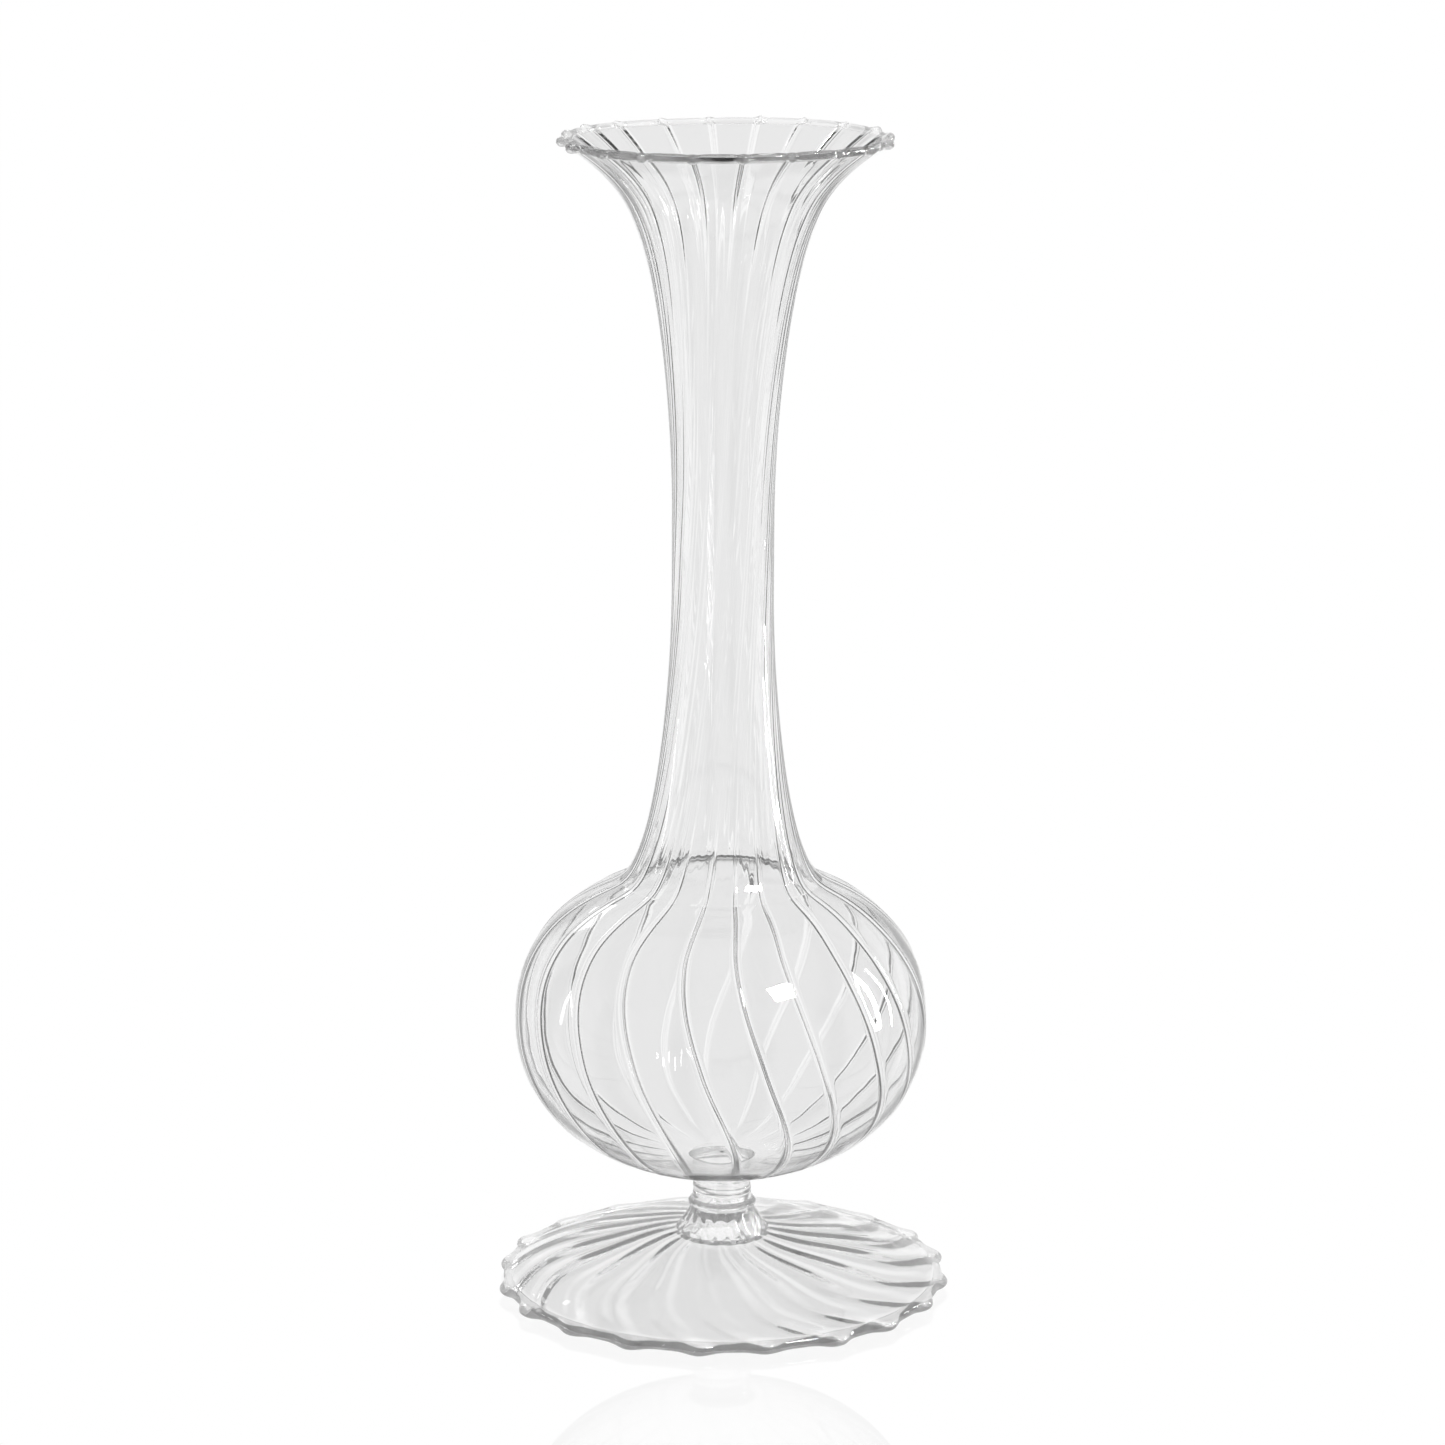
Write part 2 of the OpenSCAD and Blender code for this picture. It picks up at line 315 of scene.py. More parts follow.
# Each column's place: across the rib in half widths, and over the panel as a part of it
across = np.tile(np.concatenate([ACROSS_RIB, np.ones(len(OVER_PANEL))]), RIBS)
over = np.tile(np.concatenate([np.zeros(len(ACROSS_RIB)), OVER_PANEL]), RIBS)
on_rib = np.tile(np.arange(COLUMNS_PER_RIB) < len(ACROSS_RIB), RIBS)
# Above 1, a rib has a sharper crest than a wedge
RIB_SHARPNESS = 1.3
bell = np.where(on_rib, (1 - np.abs(across)) ** RIB_SHARPNESS, 0)

# Height and half width of the ribs at some heights of the body
RIB_HEIGHT = [[26, 0.2], [40, 0.34], [61, 0.52], [88, 0.54],
              [110, 0.3], [165, 0.24], [215, 0.32], [254, 0.5]]
RIB_HALF_W = [[26, 0.5], [61, 0.42], [88, 0.42], [120, 0.42], [165, 0.42], [215, 0.45], [254, 0.5]]
# How far, in degrees, a rib strays from an even pitch and sways to and fro over the height
RIB_STRAY = 1.6
RIB_SWAY = 0.7
# How much the height differs from rib to rib, and along one rib, as parts of it
RIB_UNEVEN = 0.25
RIB_SWELL = 0.12
# Radii on the bulb's underside between which the ribs fade in
RIB_FADE_R = (9, 27)
# Height of the fine ripple that the panels keep from the mould, and its waves over a panel
RIPPLE_HEIGHT = [[88, 0], [112, 0.035], [165, 0.045], [225, 0.035], [250, 0.015]]
RIPPLE_WAVES = 2.6
RIPPLE_WAVES_STRAY = 0.9
RIPPLE_DRIFT = 0.5


def sway(z, length, number, offset):
    """A slow wave from -1 to 1 along the height, set off differently on each rib."""
    return np.sin(z / length + offset * number)


def rib_turn(z, number):
    """How far ribs have turned at height z, over and above their even places round the vase."""
    return (RIB_START + smooth(BODY_TWIST, z) + RIB_STRAY * stray(1, number)
            + RIB_SWAY * sway(z, 31, number, 2.1))


def body_azimuths(z, r):
    """Azimuth of each column at height z, where the body's radius is r."""
    half = np.degrees(smooth(RIB_HALF_W, z) / r)
    here = rib_turn(z, rib_index)
    after = rib_turn(z, (rib_index + 1) % RIBS)
    gap = PITCH + after - here - 2 * half
    return PITCH * rib_index + here + half * across + gap * over


def rib_rise(z):
    """Height of each column above the wall at height z."""
    each = 1 + RIB_UNEVEN * stray(2, rib_index) + RIB_SWELL * sway(z, 17, rib_index, 1.7)
    return smooth(RIB_HEIGHT, z) * each * bell


def ripple(z):
    """Height of the panels' fine ripple at height z; it is level at both edges of a panel."""
    waves = RIPPLE_WAVES + RIPPLE_WAVES_STRAY * stray(7, rib_index)
    # Each panel's ripple starts elsewhere, and drifts along the height
    start = 2.4 * rib_index + RIPPLE_DRIFT * sway(z, 23, rib_index, 1)
    turn = 2 * np.pi * waves * over + start
    return smooth(RIPPLE_HEIGHT, z) * np.sin(turn) * np.sin(np.pi * over)


def body_rings(path, normals, share=1.0):
    """Rings along a path of [r, z]; ribs and ripple stand along the normals, at a share of their height."""
    rings = []
    for (r, z), (nr, nz) in zip(path, normals):
        rise = share * (rib_rise(z) * step(r, *RIB_FADE_R) + ripple(z))
        rings.append(place(r + nr * rise, z + nz * rise, body_azimuths(z, r)))
    return rings


# ---- Walls of the body ----

# Near the lip the outer face moves out, so that the wall ends in the middle of the lip's thread
LIP_SHIFT = 0.7
LIP_BLEND = 14
# The wall ends a little under the middle of the thread, inside it
MOUTH_TOP = LIP_Z - 0.3
# Reach over which the crease between neck and bulb is rounded
CREASE_ROUNDING = 3.2
# Blowing pushes the ribs inwards, so the outer face keeps only a part of their height
OUTER_RIB_SHARE = 0.15
# The bulb's inner face rounds off into a thicker floor over the stem
BULB_FLOOR = 1.0
FLOOR_ROUNDING = 0.9
# Radius of the last ring of points before the axis
INNERMOST_R = 0.5
OUTLINE_POINTS = 1500
# Distances between rings of points
MOUTH_SPACING = 0.8
NECK_SPACING = 1.5
BULB_OUTER_SPACING = 1.1
BULB_INNER_SPACING = 1.4
# The inside of an open piece has its rings this much further apart than the outside
INNER_SPACING_RATIO = 1.2


def body_outline():
    """The outside of the body from the lip down to the axis, its normals, and the inside."""
    heights = np.linspace(MOUTH_TOP, SHOULDER_Z, OUTLINE_POINTS)
    neck = np.stack([neck_radius(heights), heights], axis=-1)
    angles = np.linspace(bulb_angle(SHOULDER_R), -bulb_angle(INNERMOST_R), OUTLINE_POINTS)
    bulb = bulb_outline(angles)
    outer = soften(np.concatenate([neck, bulb[1:]]), CREASE_ROUNDING)
    normals = outward(outer)
    shift = LIP_SHIFT * step(outer[:, 1], LIP_Z - LIP_BLEND, LIP_Z)
    outer = outer + normals * shift[:, None]
    inner = outer - normals * WALL
    floor = BULB_Z - BULB_HALF_H + BULB_FLOOR
    over_floor = FLOOR_ROUNDING * np.logaddexp(0, (inner[:, 1] - floor) / FLOOR_ROUNDING)
    inner[:, 1] = np.where(inner[:, 1] < BULB_Z, floor + over_floor, inner[:, 1])
    return outer, inner, normals


BODY_OUTER, BODY_INNER, BODY_NORMALS = body_outline()
BODY_INNER_NORMALS = -outward(BODY_INNER)
BODY_END = len(BODY_OUTER) - 1
# Where on the outline the bulb's outside gives way to the stem
AT_STEM = BODY_END - int(np.argmax(BODY_OUTER[::-1, 0] >= STEM_TOP_R))


def index_at(height):
    """Where on the body's outline, above the bulb's middle, a height is reached."""
    return int(np.argmax(BODY_OUTER[:, 1] <= height))


def stretch(path, normals, start, end, spacing):
    """Points and normals between two places of a path, about spacing apart."""
    length = lengths_along(path[start:end + 1])[-1]
    count = max(3, round(length / spacing) + 1)
    places = np.linspace(start, end, count).round().astype(int)
    return path[places], normals[places]


def outer_rings(start, end, spacing):
    """Rings down the outside of a stretch of the body."""
    return body_rings(*stretch(BODY_OUTER, BODY_NORMALS, start, end, spacing), OUTER_RIB_SHARE)


def inner_rings(start, end, spacing):
    """Rings up the inside of a stretch of the body."""
    return body_rings(*stretch(BODY_INNER, BODY_INNER_NORMALS, start, end, spacing))[::-1]


def wall_piece(name, start, end, spacing):
    """A stretch of the wall, open at both ends, fused to its neighbours there."""
    outside = outer_rings(start, end, spacing)
    inside = inner_rings(start, end, INNER_SPACING_RATIO * spacing)
    return closed_piece(name, outside + inside, seams=(len(outside) - 1, len(outside + inside) - 1))


def make_mouth():
    """The flared mouth, from the lip down to where the flare begins."""
    piece = wall_piece("glass_mouth", 0, index_at(FLARE_Z), MOUTH_SPACING)
    return dress(piece, WALL_GLASS, ["mouth_flare", "mouth_ribs"])


def make_neck():
    """The long neck, from the flare down to the crease over the bulb."""
    piece = wall_piece("glass_neck", index_at(FLARE_Z), index_at(SHOULDER_Z), NECK_SPACING)
    return dress(piece, WALL_GLASS, ["neck", "neck_ribs"])


def make_bulb():
    """The bulb with its closed floor, fused to the neck above and the stem below."""
    outside = outer_rings(index_at(SHOULDER_Z), AT_STEM, BULB_OUTER_SPACING)
    inside = inner_rings(index_at(SHOULDER_Z), BODY_END, BULB_INNER_SPACING)
    floor_pole = on_axis(BODY_INNER[-1][1])
    stem_pole = on_axis(BODY_OUTER[AT_STEM][1])
    piece = closed_piece("glass_bulb", inside + outside, (len(inside) - 1, "end"), floor_pole, stem_pole)
    return dress(piece, WALL_GLASS, ["bulb", "bulb_ribs"])


# ---- Lip ----

LIP_SECTION = 20
LIP_COLUMNS = RIBS * 24
# How far a nib stands out of the thread; widths round the lip are in half pitches
NIB_REACH = box_mm("lip_nibs")[1].x - lip_high.x + 0.5
NIB_WIDTH = 0.17
NIB_STRAY = 0.12
NIB_UNEVEN = 0.3
# A nib points out and, by a tilt in radians, a little up; the thread's middle moves out and down there
NIB_TILT = 0.35
NIB_SPREAD = 1.5
NIB_PULL = 0.25
# The thread is fatter between the nibs, and bows outwards at them
THREAD_FULLNESS = 1.22
THREAD_PINCH = 0.25
THREAD_PINCH_WIDTH = 0.35
LIP_SCALLOP = 0.3
# The lip rises and falls three times round the mouth
LIP_WAVE = 0.15


def rib_phase(azimuth, middle):
    """How far an azimuth is from the nearest rib, in half pitches from -1 to 1, and that rib's number."""
    turns = (azimuth - middle) / PITCH
    number = np.round(turns)
    return (turns - number) * 2, number.astype(int) % RIBS


def make_lip():
    """The fire-polished thread of the lip, with a nib where each rib runs into it."""
    azimuth = np.linspace(0, 360, LIP_COLUMNS, endpoint=False)
    middle = RIB_START + smooth(BODY_TWIST, LIP_Z)
    phase, number = rib_phase(azimuth, middle)
    phase = phase - NIB_STRAY * stray(1, number)
    nib = np.exp(-(phase / NIB_WIDTH) ** 2) * (1 + NIB_UNEVEN * stray(3, number))
    thread = THREAD_R * (THREAD_FULLNESS - THREAD_PINCH * np.exp(-(phase / THREAD_PINCH_WIDTH) ** 2))
    middle_r = LIP_R + NIB_PULL * nib + LIP_SCALLOP * np.abs(1 - np.abs(phase)) ** 2
    middle_z = LIP_Z - NIB_PULL * nib + LIP_WAVE * np.sin(np.radians(3 * azimuth + 40))
    rings = []
    for turn in np.linspace(0, 2 * np.pi, LIP_SECTION, endpoint=False):
        reach = np.clip(math.cos(turn + NIB_TILT), 0, 1) ** NIB_SPREAD
        size = thread + NIB_REACH * nib * reach
        rings.append(place(middle_r + size * math.cos(turn), middle_z - size * math.sin(turn), azimuth))
    piece = closed_piece("glass_lip", rings)
    return dress(piece, EDGE_GLASS, ["lip_thread", "lip_nibs"])


# ---- Stem, ring and collar ----

ROUND_COLUMNS = 96
# How far the stem draws in at its middle
STEM_WAIST = 0.18
# Tooling lines round the stem, at a slant: their height, their slant, and radians per millimetre
SWIRL_HEIGHT = 0.09
SWIRL_SLOPE = 0.35
SWIRL_RATE = 3.1
# Below 1, the ring is fuller than half a sine; seen from above it is a little oval
RING_ROUNDNESS = 0.8
RING_OVAL = 0.05
# Above 1, the collar's side is hollow
COLLAR_HOLLOW = 1.2
# Height of the streaks on the collar, and how much of it lies under the collar's surface
STREAK_HEIGHT = 0.4
STREAK_SINK = 0.6
# The collar's underside as parts of its radius, and how far it is hollowed there
COLLAR_UNDERSIDE = [[1, 0], [0.8, 0.1], [0.5, 0.25]]
# Radius and rise of the underside's last ring before the axis
COLLAR_UNDER_MIDDLE = [1.0, 0.35]


def turned(name, path, wobble, seams):
    """A solid of revolution along a path of [r, z] from its top to its bottom, closed by two discs."""
    azimuth = np.linspace(0, 360, ROUND_COLUMNS, endpoint=False)
    rings = [place(r + wobble(r, z, azimuth), z, azimuth) for r, z in path]
    return closed_piece(name, rings, seams, on_axis(path[0][1]), on_axis(path[-1][1]))


def make_stem():
    """The short solid stem, which spreads into the bulb with a fillet."""
    top = BODY_OUTER[AT_STEM][1]
    bottom = ring_high.z
    turn = np.radians(np.linspace(0, 90, 12))
    fillet_r = STEM_TOP_R - STEM_FILLET * np.sin(turn)
    fillet_z = top - STEM_FILLET * (1 - np.cos(turn))
    t = np.linspace(0, 1, 20)[1:]
    below_r = STEM_R - STEM_WAIST * np.sin(np.pi * t)
    below_z = fillet_z[-1] + (bottom - fillet_z[-1]) * t
    path = np.stack([np.concatenate([fillet_r, below_r]), np.concatenate([fillet_z, below_z])], axis=-1)

    def swirl(r, z, azimuth):
        slope = SWIRL_SLOPE * np.sin(np.radians(azimuth + 30))
        fade = math.sin(math.pi * (z - bottom) / (top - bottom))
        return SWIRL_HEIGHT * np.sin((z + slope - bottom) * SWIRL_RATE) * fade

    piece = turned("glass_stem", path, swirl, ("start", "end"))
    return dress(piece, SOLID_GLASS, ["stem"])


def make_ring():
    """The round ring between the stem and the collar."""
    top, bottom = ring_high.z, ring_low.z
    t = np.linspace(0, 1, 14)
    crest = np.sin(np.pi * t) ** RING_ROUNDNESS
    r = STEM_R + (RING_R - STEM_R) * crest + (RING_NECK_R - STEM_R) * t
    path = np.stack([r, top + (bottom - top) * t], axis=-1)

    def oval(r, z, azimuth):
        return RING_OVAL * np.sin(np.radians(2 * azimuth))

    piece = turned("glass_ring", path, oval, ("start", "end"))
    return dress(piece, SOLID_GLASS, ["stem_ring"])


def make_collar():
    """The streaked collar, which spreads from the ring to the foot's disc."""
    top = ring_low.z
    t = np.linspace(0, 1, 20)
    r = RING_NECK_R + (COLLAR_R - RING_NECK_R) * t ** COLLAR_HOLLOW
    side = np.stack([r, top + (FOOT_RISE - top) * t], axis=-1)
    hollow = [[COLLAR_R * part, collar_low.z + rise] for part, rise in COLLAR_UNDERSIDE]
    hollow.append([COLLAR_UNDER_MIDDLE[0], collar_low.z + COLLAR_UNDER_MIDDLE[1]])
    azimuth = np.linspace(0, 360, len(rib_index), endpoint=False)
    rings = []
    for r, z in side:
        fade = math.sin(math.pi * min(1, (top - z) / (top - FOOT_RISE)))
        crests = np.abs(np.cos(np.radians(RIBS / 2 * azimuth)))
        streaks = STREAK_HEIGHT * fade * (crests - STREAK_SINK)
        rings.append(place(r + streaks, z, azimuth + FOOT_RIB_START))
    for r, z in hollow:
        rings.append(place(r, np.full(len(azimuth), z), azimuth + FOOT_RIB_START))
    piece = closed_piece("glass_collar", rings, ("start", len(side) - 1), on_axis(top), [0, 0, hollow[-1][1]])
    return dress(piece, SOLID_GLASS, ["foot_collar"])


# ---- Foot ----

# Height of the foot's flutes at some radii
FLUTE_HEIGHT = [[9, 0], [14, 0.25], [24, 0.45], [36, 0.68], [43, 0.8], [47, 0.7]]
# How far the foot lifts off between two ribs at some radii
FOOT_LIFT = [[28, 0], [47, 0.7]]
# Share of a flute's height that shows on the underside
FLUTE_UNDER_SHARE = 0.2
# Above 1, the flutes are narrower than the hollows between them
FLUTE_SHARPNESS = 1.8
FLUTE_STRAY = 0.12
FLUTE_UNEVEN = 0.25
# How far inside the middle of the rim the disc ends
FOOT_JOINT = 0.6
FOOT_RINGS = 52
RIM_SECTION = 24
# Above 1, the beads are narrower than the flutes that end in them
BEAD_SHARPNESS = 1.3
# The beads reach this many times as far out of the rim as in the CAD
BEAD_GAIN = 1.8
# The rim is a little thicker than the disc that runs into it
RIM_FULLNESS = 1.02


def foot_flute(r, azimuth):
    """How high the nearest flute stands at some azimuths, as a part of the usual height."""
    phase, number = rib_phase(azimuth, FOOT_RIB_START + smooth(FOOT_TWIST, r))
    phase = phase + FLUTE_STRAY * stray(5, number) * (1 - phase ** 2)
    crest = (0.5 + 0.5 * np.cos(np.pi * phase)) ** FLUTE_SHARPNESS
    return crest * (1 + FLUTE_UNEVEN * stray(6, number))


def foot_azimuths(r):
    """Azimuths of the foot's columns at radius r, which turn with its flutes."""
    return np.linspace(0, 360, len(rib_index), endpoint=False) + FOOT_RIB_START + smooth(FOOT_TWIST, r)


def foot_lift(r, crest):
    """How far the foot lifts off at radius r, most of all midway between two flutes."""
    return smooth(FOOT_LIFT, r) * np.clip(1 - crest, 0, 1)


def foot_ring(r, z, share):
    """A ring of the foot at radius r and height z, with flutes of that share of their height."""
    azimuth = foot_azimuths(r)
    crest = foot_flute(r, azimuth)
    lift = foot_lift(r, crest)
    return place(r, z + lift + share * smooth(FLUTE_HEIGHT, r) * crest, azimuth)


def make_foot():
    """The fluted disc of the foot, between the collar and the rim."""
    joint = FOOT_R - FOOT_JOINT
    radii = np.linspace(COLLAR_R, joint, FOOT_RINGS)
    over = np.stack([radii, foot_top(radii)], axis=-1)
    # The underside is plainer, so it has only every second ring
    under = np.stack([radii, foot_top(radii) - FOOT_WALL], axis=-1)[::-1][::2]
    under[-1] = [COLLAR_R, collar_low.z]
    outside = [foot_ring(r, z, 1) for r, z in over]
    inside = [foot_ring(r, z, FLUTE_UNDER_SHARE) for r, z in under]
    rings = outside + inside
    piece = closed_piece("glass_foot", rings, (len(outside) - 1, len(rings) - 1))
    return dress(piece, FOOT_GLASS, ["foot_disc", "foot_ribs"])


def make_rim():
    """The round rim of the foot, with a bead where each flute runs out over it."""
    joint = FOOT_R - FOOT_JOINT
    azimuth = foot_azimuths(joint)
    crest = foot_flute(joint, azimuth)
    reach = RIM_R + BEAD_REACH * BEAD_GAIN * crest ** BEAD_SHARPNESS
    lift = foot_lift(joint, crest)
    flute = smooth(FLUTE_HEIGHT, joint) * crest
    high = foot_top(joint) + lift + flute
    low = foot_top(joint) - FOOT_WALL + lift + FLUTE_UNDER_SHARE * flute
    middle_z = (high + low) / 2
    half = (high - low) / 2
    rings = []
    start = math.acos(-FOOT_JOINT / RIM_R)
    for turn in np.linspace(start, -start, RIM_SECTION):
        push = (math.cos(turn) - math.cos(start)) / (1 - math.cos(start))
        r = joint + (FOOT_JOINT + reach) * push
        z = middle_z + half * math.sin(turn) / math.sin(start) * RIM_FULLNESS
        rings.append(place(r, z, azimuth))
    piece = closed_piece("glass_rim", rings, (len(rings) - 1,))
    return dress(piece, RIM_GLASS, ["foot_rim", "foot_beads"])


# ---- Materials ----

GLASS_IOR = 1.47
# The fire polish is uneven: its roughness goes from none to this
POLISH_ROUGHNESS = 0.03
CLEAR = (0.975, 0.975, 0.975)
CLEAR_EDGE = (0.97, 0.97, 0.97)


def new_material(name):
    """A material with its node tree and its Principled shader."""
    material = bpy.data.materials.new(name)
    material.use_nodes = True
    tree = material.node_tree
    shader = tree.nodes["Principled BSDF"]
    return material, tree, shader


def glass(name, colour, wave_size, wave_height, alpha=1.0):
    """Clear glass with the slow waves of hand-worked glass and a fine, uneven fire polish.

    The waves' size and height are in millimetres. An alpha below 1 lets a part of the light straight
    through, which keeps the thick pieces from going black.
    """
    material, tree, shader = new_material(name)
    shader.inputs["Base Color"].default_value = (*colour, 1)
    shader.inputs["Transmission Weight"].default_value = 1
    shader.inputs["IOR"].default_value = GLASS_IOR
    shader.inputs["Alpha"].default_value = alpha
    place_node = tree.nodes.new("ShaderNodeTexCoord")
    waves = tree.nodes.new("ShaderNodeTexNoise")
    waves.inputs["Scale"].default_value = 1 / (wave_size * MM)
    waves.inputs["Detail"].default_value = 1
    tree.links.new(place_node.outputs["Object"], waves.inputs["Vector"])
    bump = tree.nodes.new("ShaderNodeBump")
    bump.inputs["Strength"].default_value = 1
    bump.inputs["Distance"].default_value = wave_height * MM
    tree.links.new(waves.outputs["Fac"], bump.inputs["Height"])
    tree.links.new(bump.outputs["Normal"], shader.inputs["Normal"])
    polish = tree.nodes.new("ShaderNodeMapRange")
    polish.inputs["To Min"].default_value = 0.0
    polish.inputs["To Max"].default_value = POLISH_ROUGHNESS
    tree.links.new(waves.outputs["Fac"], polish.inputs["Value"])
    tree.links.new(polish.outputs["Result"], shader.inputs["Roughness"])
    return material


def seam_material():
    """Where two fused pieces meet, glass runs through, so the seam isn't seen."""
    made = bpy.data.materials.get("fused_seam")
    if made is None:
        made, tree, shader = new_material("fused_seam")
        shader.inputs["Alpha"].default_value = 0
    return made


WALL_GLASS = glass("clear_wall", CLEAR, 9, 0.05)
SOLID_GLASS = glass("clear_solid", CLEAR, 3, 0.06, alpha=0.8)
FOOT_GLASS = glass("clear_foot", CLEAR, 6, 0.05, alpha=0.85)
EDGE_GLASS = glass("clear_edge", CLEAR_EDGE, 3, 0.05, alpha=0.58)
RIM_GLASS = glass("clear_rim", CLEAR_EDGE, 3, 0.05, alpha=0.62)


# ---- Studio ----

def maths(tree, operation, first, second=None):
    """A Math node; its inputs are numbers or other nodes' outputs."""
    node = tree.nodes.new("ShaderNodeMath")
    node.operation = operation
    for socket, value in zip(node.inputs, (first, second)):
        if value is None:
            continue
        if isinstance(value, (int, float)):
            socket.default_value = value
        else:
            tree.links.new(value, socket)
    return node.outputs[0]


def ramp(tree, value, low, high, from_value, to_value):
    """A smooth change from one value to another while the input goes from low to high."""
    node = tree.nodes.new("ShaderNodeMapRange")
    node.interpolation_type = "SMOOTHSTEP"
    tree.links.new(value, node.inputs["Value"])
    node.inputs["From Min"].default_value = low
    node.inputs["From Max"].default_value = high
    node.inputs["To Min"].default_value = from_value
    node.inputs["To Max"].default_value = to_value
    return node.outputs["Result"]


def mix(tree, factor, first, second):
    """first where factor is 0, second where it is 1."""
    keep = maths(tree, "SUBTRACT", 1.0, factor)
    part_of_first = maths(tree, "MULTIPLY", keep, first)
    return maths(tree, "ADD", part_of_first, maths(tree, "MULTIPLY", factor, second))


# Round the vase stand eight pale grey backdrops, one behind it in each main view, with white panels
# between them and a slightly greyer card in the middle of each panel. Glass bends light towards the
# panels, which gives its ribs white edges. Light that was reflected more than once in the glass
# comes out dark unless it leaves steeply, and light that was reflected very often comes out grey.
BACKDROPS = 8
# Brightness of what is seen through the glass: backdrop, card, and the surround high up and below
BACKDROP = 0.83
CARD = 0.9
THROUGH_HIGH = 0.95
THROUGH_LOW = 1.0
# Brightness of what is seen after one reflection: the card, and the surround high up
REFLECTED_CARD = 0.6
REFLECTED_HIGH = 0.9
# Brightness after more reflections: for level light, for steep light, and after very many
DEEP_SHADE = 0.015
DEEP_STEEP = 0.8
FAR_SHADE = 0.4
FAR_BOUNCES = 12.5
# Where each part begins and ends. Across a backdrop and a panel it is a cosine, 1 in the middle of a
# backdrop and -1 in the middle of a panel; up and down it is the height of a direction of length 1.
BACKDROP_EDGE = (0.3, 0.97)
CARD_EDGE = (-1.0, -0.6)
REFLECTED_CARD_EDGE = (-1.0, -0.2)
HIGH_EDGE = (0.25, 0.6)
LOW_EDGE = (-0.36, -0.5)
STEEP_EDGE = (0.65, 0.92)


def make_world():
    """A surround that is white to the camera and the floor, with cards that show in the glass."""
    world = bpy.data.worlds.new("studio")
    world.use_nodes = True
    bpy.context.scene.world = world
    tree = world.node_tree
    background = tree.nodes["Background"]
    coords = tree.nodes.new("ShaderNodeTexCoord")
    parts = tree.nodes.new("ShaderNodeSeparateXYZ")
    tree.links.new(coords.outputs["Generated"], parts.inputs[0])
    towards_front = maths(tree, "MULTIPLY", parts.outputs["Y"], -1.0)
    azimuth = maths(tree, "ARCTAN2", parts.outputs["X"], towards_front)
    facing = maths(tree, "COSINE", maths(tree, "MULTIPLY", azimuth, float(BACKDROPS)))
    rise = parts.outputs["Z"]
    high = ramp(tree, rise, *HIGH_EDGE, 0, 1)

    through = ramp(tree, facing, *BACKDROP_EDGE, 1, BACKDROP)
    through = maths(tree, "MULTIPLY", through, ramp(tree, facing, *CARD_EDGE, CARD, 1))
    through = mix(tree, high, through, THROUGH_HIGH)
    through = mix(tree, ramp(tree, rise, *LOW_EDGE, 0, 1), through, THROUGH_LOW)
    reflected = ramp(tree, facing, *REFLECTED_CARD_EDGE, REFLECTED_CARD, 1)
    reflected = mix(tree, high, reflected, REFLECTED_HIGH)
    deep = ramp(tree, maths(tree, "ABSOLUTE", rise), *STEEP_EDGE, DEEP_SHADE, DEEP_STEEP)

    # Glossy Depth counts reflections; the floor's own mirror reflection isn't one in the glass
    path = tree.nodes.new("ShaderNodeLightPath")
    bounces = path.outputs["Glossy Depth"]
    from_floor = maths(tree, "MULTIPLY", path.outputs["Is Reflection Ray"], path.outputs["Is Singular Ray"])
    once = maths(tree, "SUBTRACT", maths(tree, "MINIMUM", bounces, 1.0), from_floor)
    again = maths(tree, "GREATER_THAN", bounces, 1.5)
    seen = mix(tree, path.outputs["Is Transmission Ray"], 1.0, through)
    seen = mix(tree, once, seen, reflected)
    seen = mix(tree, again, seen, deep)
    seen = mix(tree, maths(tree, "GREATER_THAN", bounces, FAR_BOUNCES), seen, FAR_SHADE)
    tree.links.new(seen, background.inputs["Strength"])
    background.inputs["Color"].default_value = (1, 1, 1, 1)
    world.cycles.sampling_method = "NONE"


FLOOR_SIZE = 26.0
FLOOR_GLOSS = 0.6
FLOOR_IOR = 1.35


def make_floor():
    """A plain white floor with a faint polish."""
    mesh = bpy.data.meshes.new("floor")
    half = FLOOR_SIZE / 2
    corners = [(-half, -half, 0), (half, -half, 0), (half, half, 0), (-half, half, 0)]
    mesh.from_pydata(corners, [], [(0, 1, 2, 3)])
    floor = bpy.data.objects.new("floor", mesh)
    bpy.context.scene.collection.objects.link(floor)
    material = bpy.data.materials.new("white_floor")
    material.use_nodes = True
    tree = material.node_tree
    tree.nodes.clear()
    glow = tree.nodes.new("ShaderNodeEmission")
    gloss = tree.nodes.new("ShaderNodeBsdfGlossy")
    gloss.inputs["Color"].default_value = (1, 1, 1, 1)
    gloss.inputs["Roughness"].default_value = 0
    blend = tree.nodes.new("ShaderNodeMixShader")
    fresnel = tree.nodes.new("ShaderNodeFresnel")
    fresnel.inputs["IOR"].default_value = FLOOR_IOR
    tree.links.new(maths(tree, "MULTIPLY", fresnel.outputs[0], FLOOR_GLOSS), blend.inputs[0])
    tree.links.new(glow.outputs[0], blend.inputs[1])
    tree.links.new(gloss.outputs[0], blend.inputs[2])
    output = tree.nodes.new("ShaderNodeOutputMaterial")
    tree.links.new(blend.outputs[0], output.inputs["Surface"])
    mesh.materials.append(material)
    floor.visible_transmission = False
    floor.visible_glossy = False


# Lamps stand this far from the bulb, in metres
LAMP_DISTANCE = 1.3
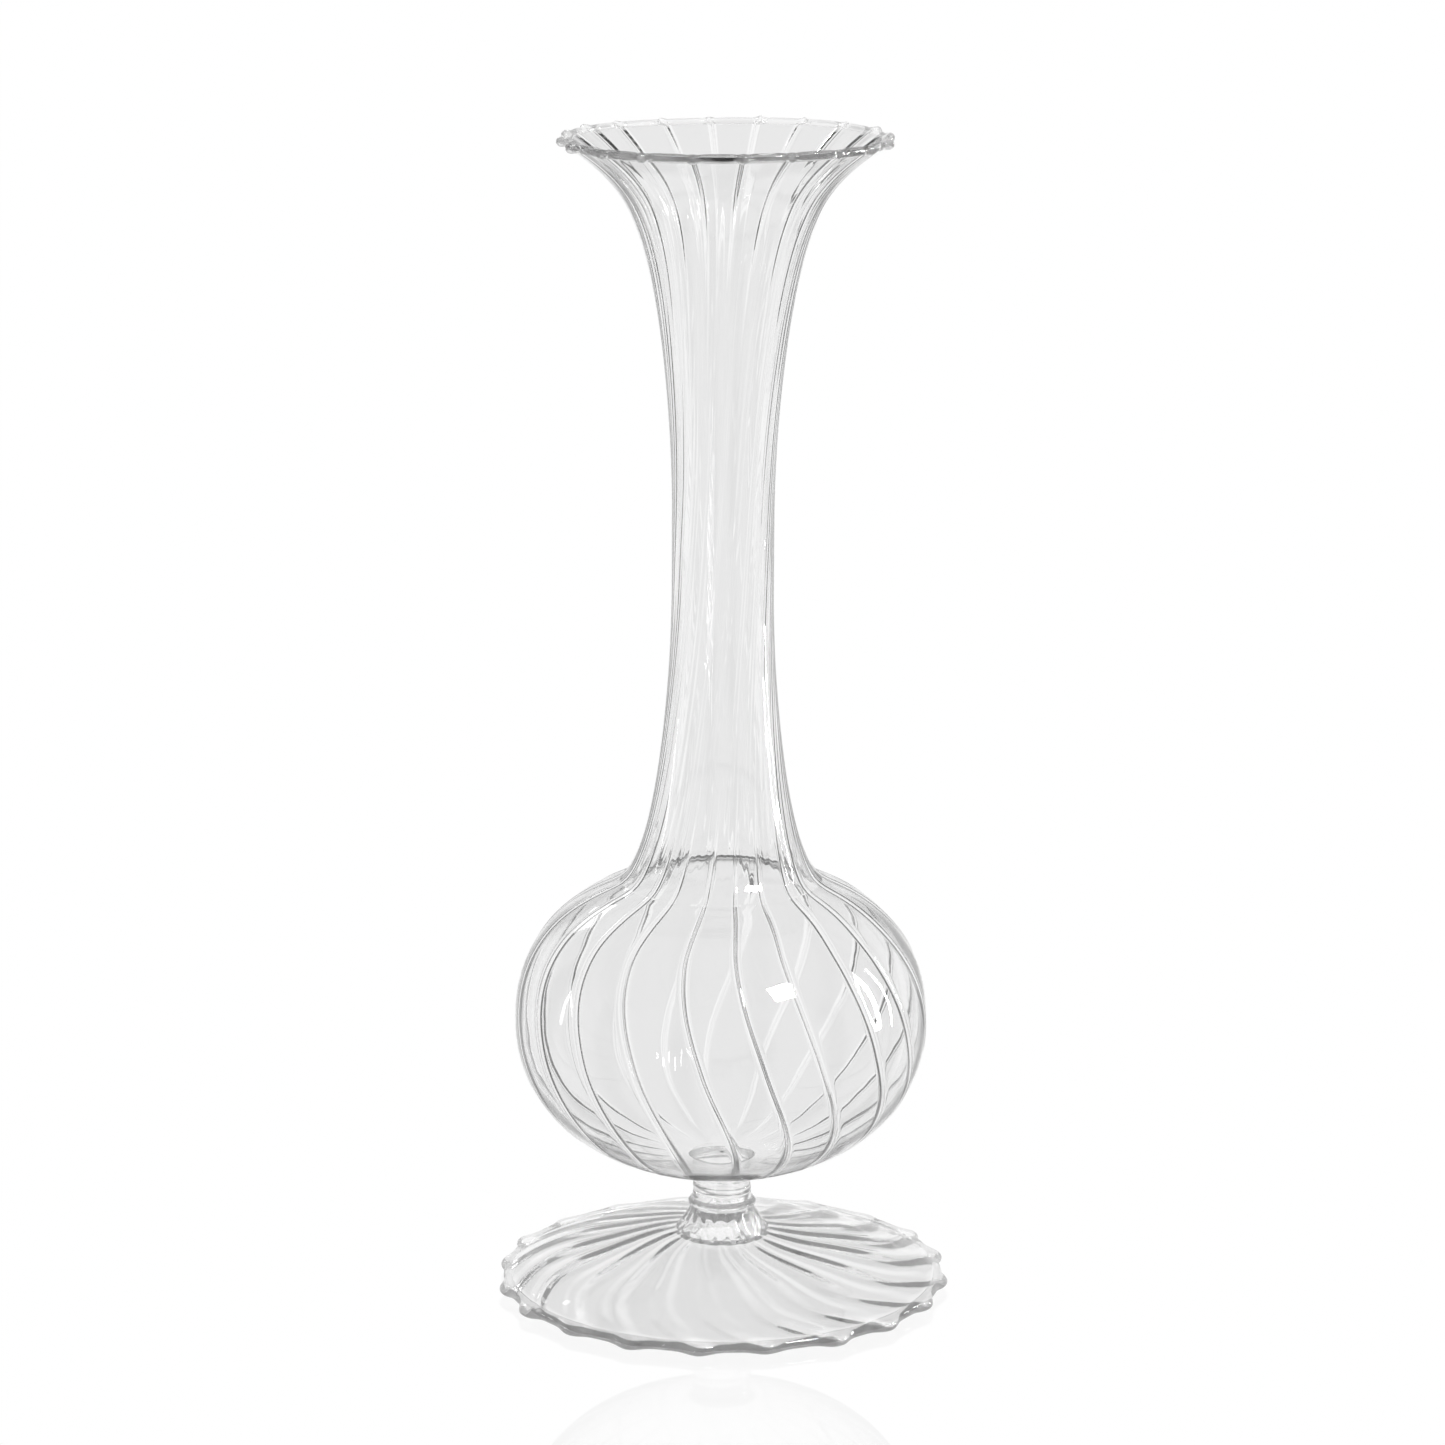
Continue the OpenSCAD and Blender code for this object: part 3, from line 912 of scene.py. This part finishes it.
# Name, azimuth, elevation, width and height in metres, and power of each soft lamp
SOFTBOXES = [
    ("window_right", 45, 43, 0.34, 0.28, 36),
    ("strip_right", 97, 14, 0.08, 0.9, 12),
    ("strip_right_thin", 108, 10, 0.04, 0.8, 5),
    ("window_back", 215, 30, 0.3, 0.22, 0.7),
    ("strip_back", 262, 8, 0.06, 0.5, 0.5),
]
# A row of weak strips on the left, stepped up and down in turn, each longer than the last
GLINTS = 5
GLINT_AZIMUTH = -34
GLINT_SPACING = 3.2
GLINT_ELEVATION = -7
GLINT_STAGGER = 2
GLINT_WIDTH = 0.02
GLINT_POWER = 0.12


def make_softbox(name, azimuth, elevation, width, height, power):
    """A soft lamp that faces the vase; it is seen only as a gleam on the glass."""
    lamp = bpy.data.lights.new(name, "AREA")
    lamp.shape = "RECTANGLE"
    lamp.size = width
    lamp.size_y = height
    lamp.energy = power
    softbox = bpy.data.objects.new(name, lamp)
    bpy.context.scene.collection.objects.link(softbox)
    turn, tilt = math.radians(azimuth), math.radians(elevation)
    away = Vector((math.sin(turn) * math.cos(tilt), -math.cos(turn) * math.cos(tilt), math.sin(tilt)))
    middle = Vector((0, 0, BULB_Z * MM))
    softbox.location = middle + away * LAMP_DISTANCE
    softbox.rotation_euler = away.to_track_quat("Z", "Y").to_euler()
    softbox.visible_camera = False
    softbox.visible_transmission = False


def make_lights():
    """All the lamps: the soft windows and strips, then the row of glints."""
    for softbox in SOFTBOXES:
        make_softbox(*softbox)
    for i in range(GLINTS):
        azimuth = GLINT_AZIMUTH + GLINT_SPACING * i
        elevation = GLINT_ELEVATION + GLINT_STAGGER * (-1) ** i
        make_softbox(f"glint_{i}", azimuth, elevation, GLINT_WIDTH, 0.1 + 0.04 * i, GLINT_POWER)


# The camera of the photograph: height and distance in metres, downward pitch, lens and sensor in mm
CAMERA_HEIGHT = 0.378
CAMERA_DISTANCE = 1.045
CAMERA_PITCH = 13.495
CAMERA_LENS = 123.9
SENSOR_WIDTH = 36


def make_camera():
    """The camera, which looks at the vase from the photograph's place."""
    lens = bpy.data.cameras.new("camera")
    lens.lens = CAMERA_LENS
    lens.sensor_width = SENSOR_WIDTH
    lens.clip_start = 0.05
    lens.clip_end = 20
    camera = bpy.data.objects.new("camera", lens)
    camera.location = (0, -CAMERA_DISTANCE, CAMERA_HEIGHT)
    camera.rotation_euler = (math.radians(90 - CAMERA_PITCH), 0, 0)
    bpy.context.scene.collection.objects.link(camera)
    bpy.context.scene.camera = camera


def set_up_scene():
    """Plain colours, and room for light to cross the many faces of the ribbed glass."""
    scene = bpy.context.scene
    scene.view_settings.view_transform = "Standard"
    scene.cycles.max_bounces = 64
    scene.cycles.transmission_bounces = 48
    scene.cycles.glossy_bounces = 48
    scene.cycles.transparent_max_bounces = 32
    scene.cycles.caustics_reflective = True
    scene.cycles.caustics_refractive = True


make_camera()
set_up_scene()
make_world()
make_floor()
make_lights()

make_lip()
make_mouth()
make_neck()
make_bulb()
make_stem()
make_ring()
make_collar()
make_foot()
make_rim()
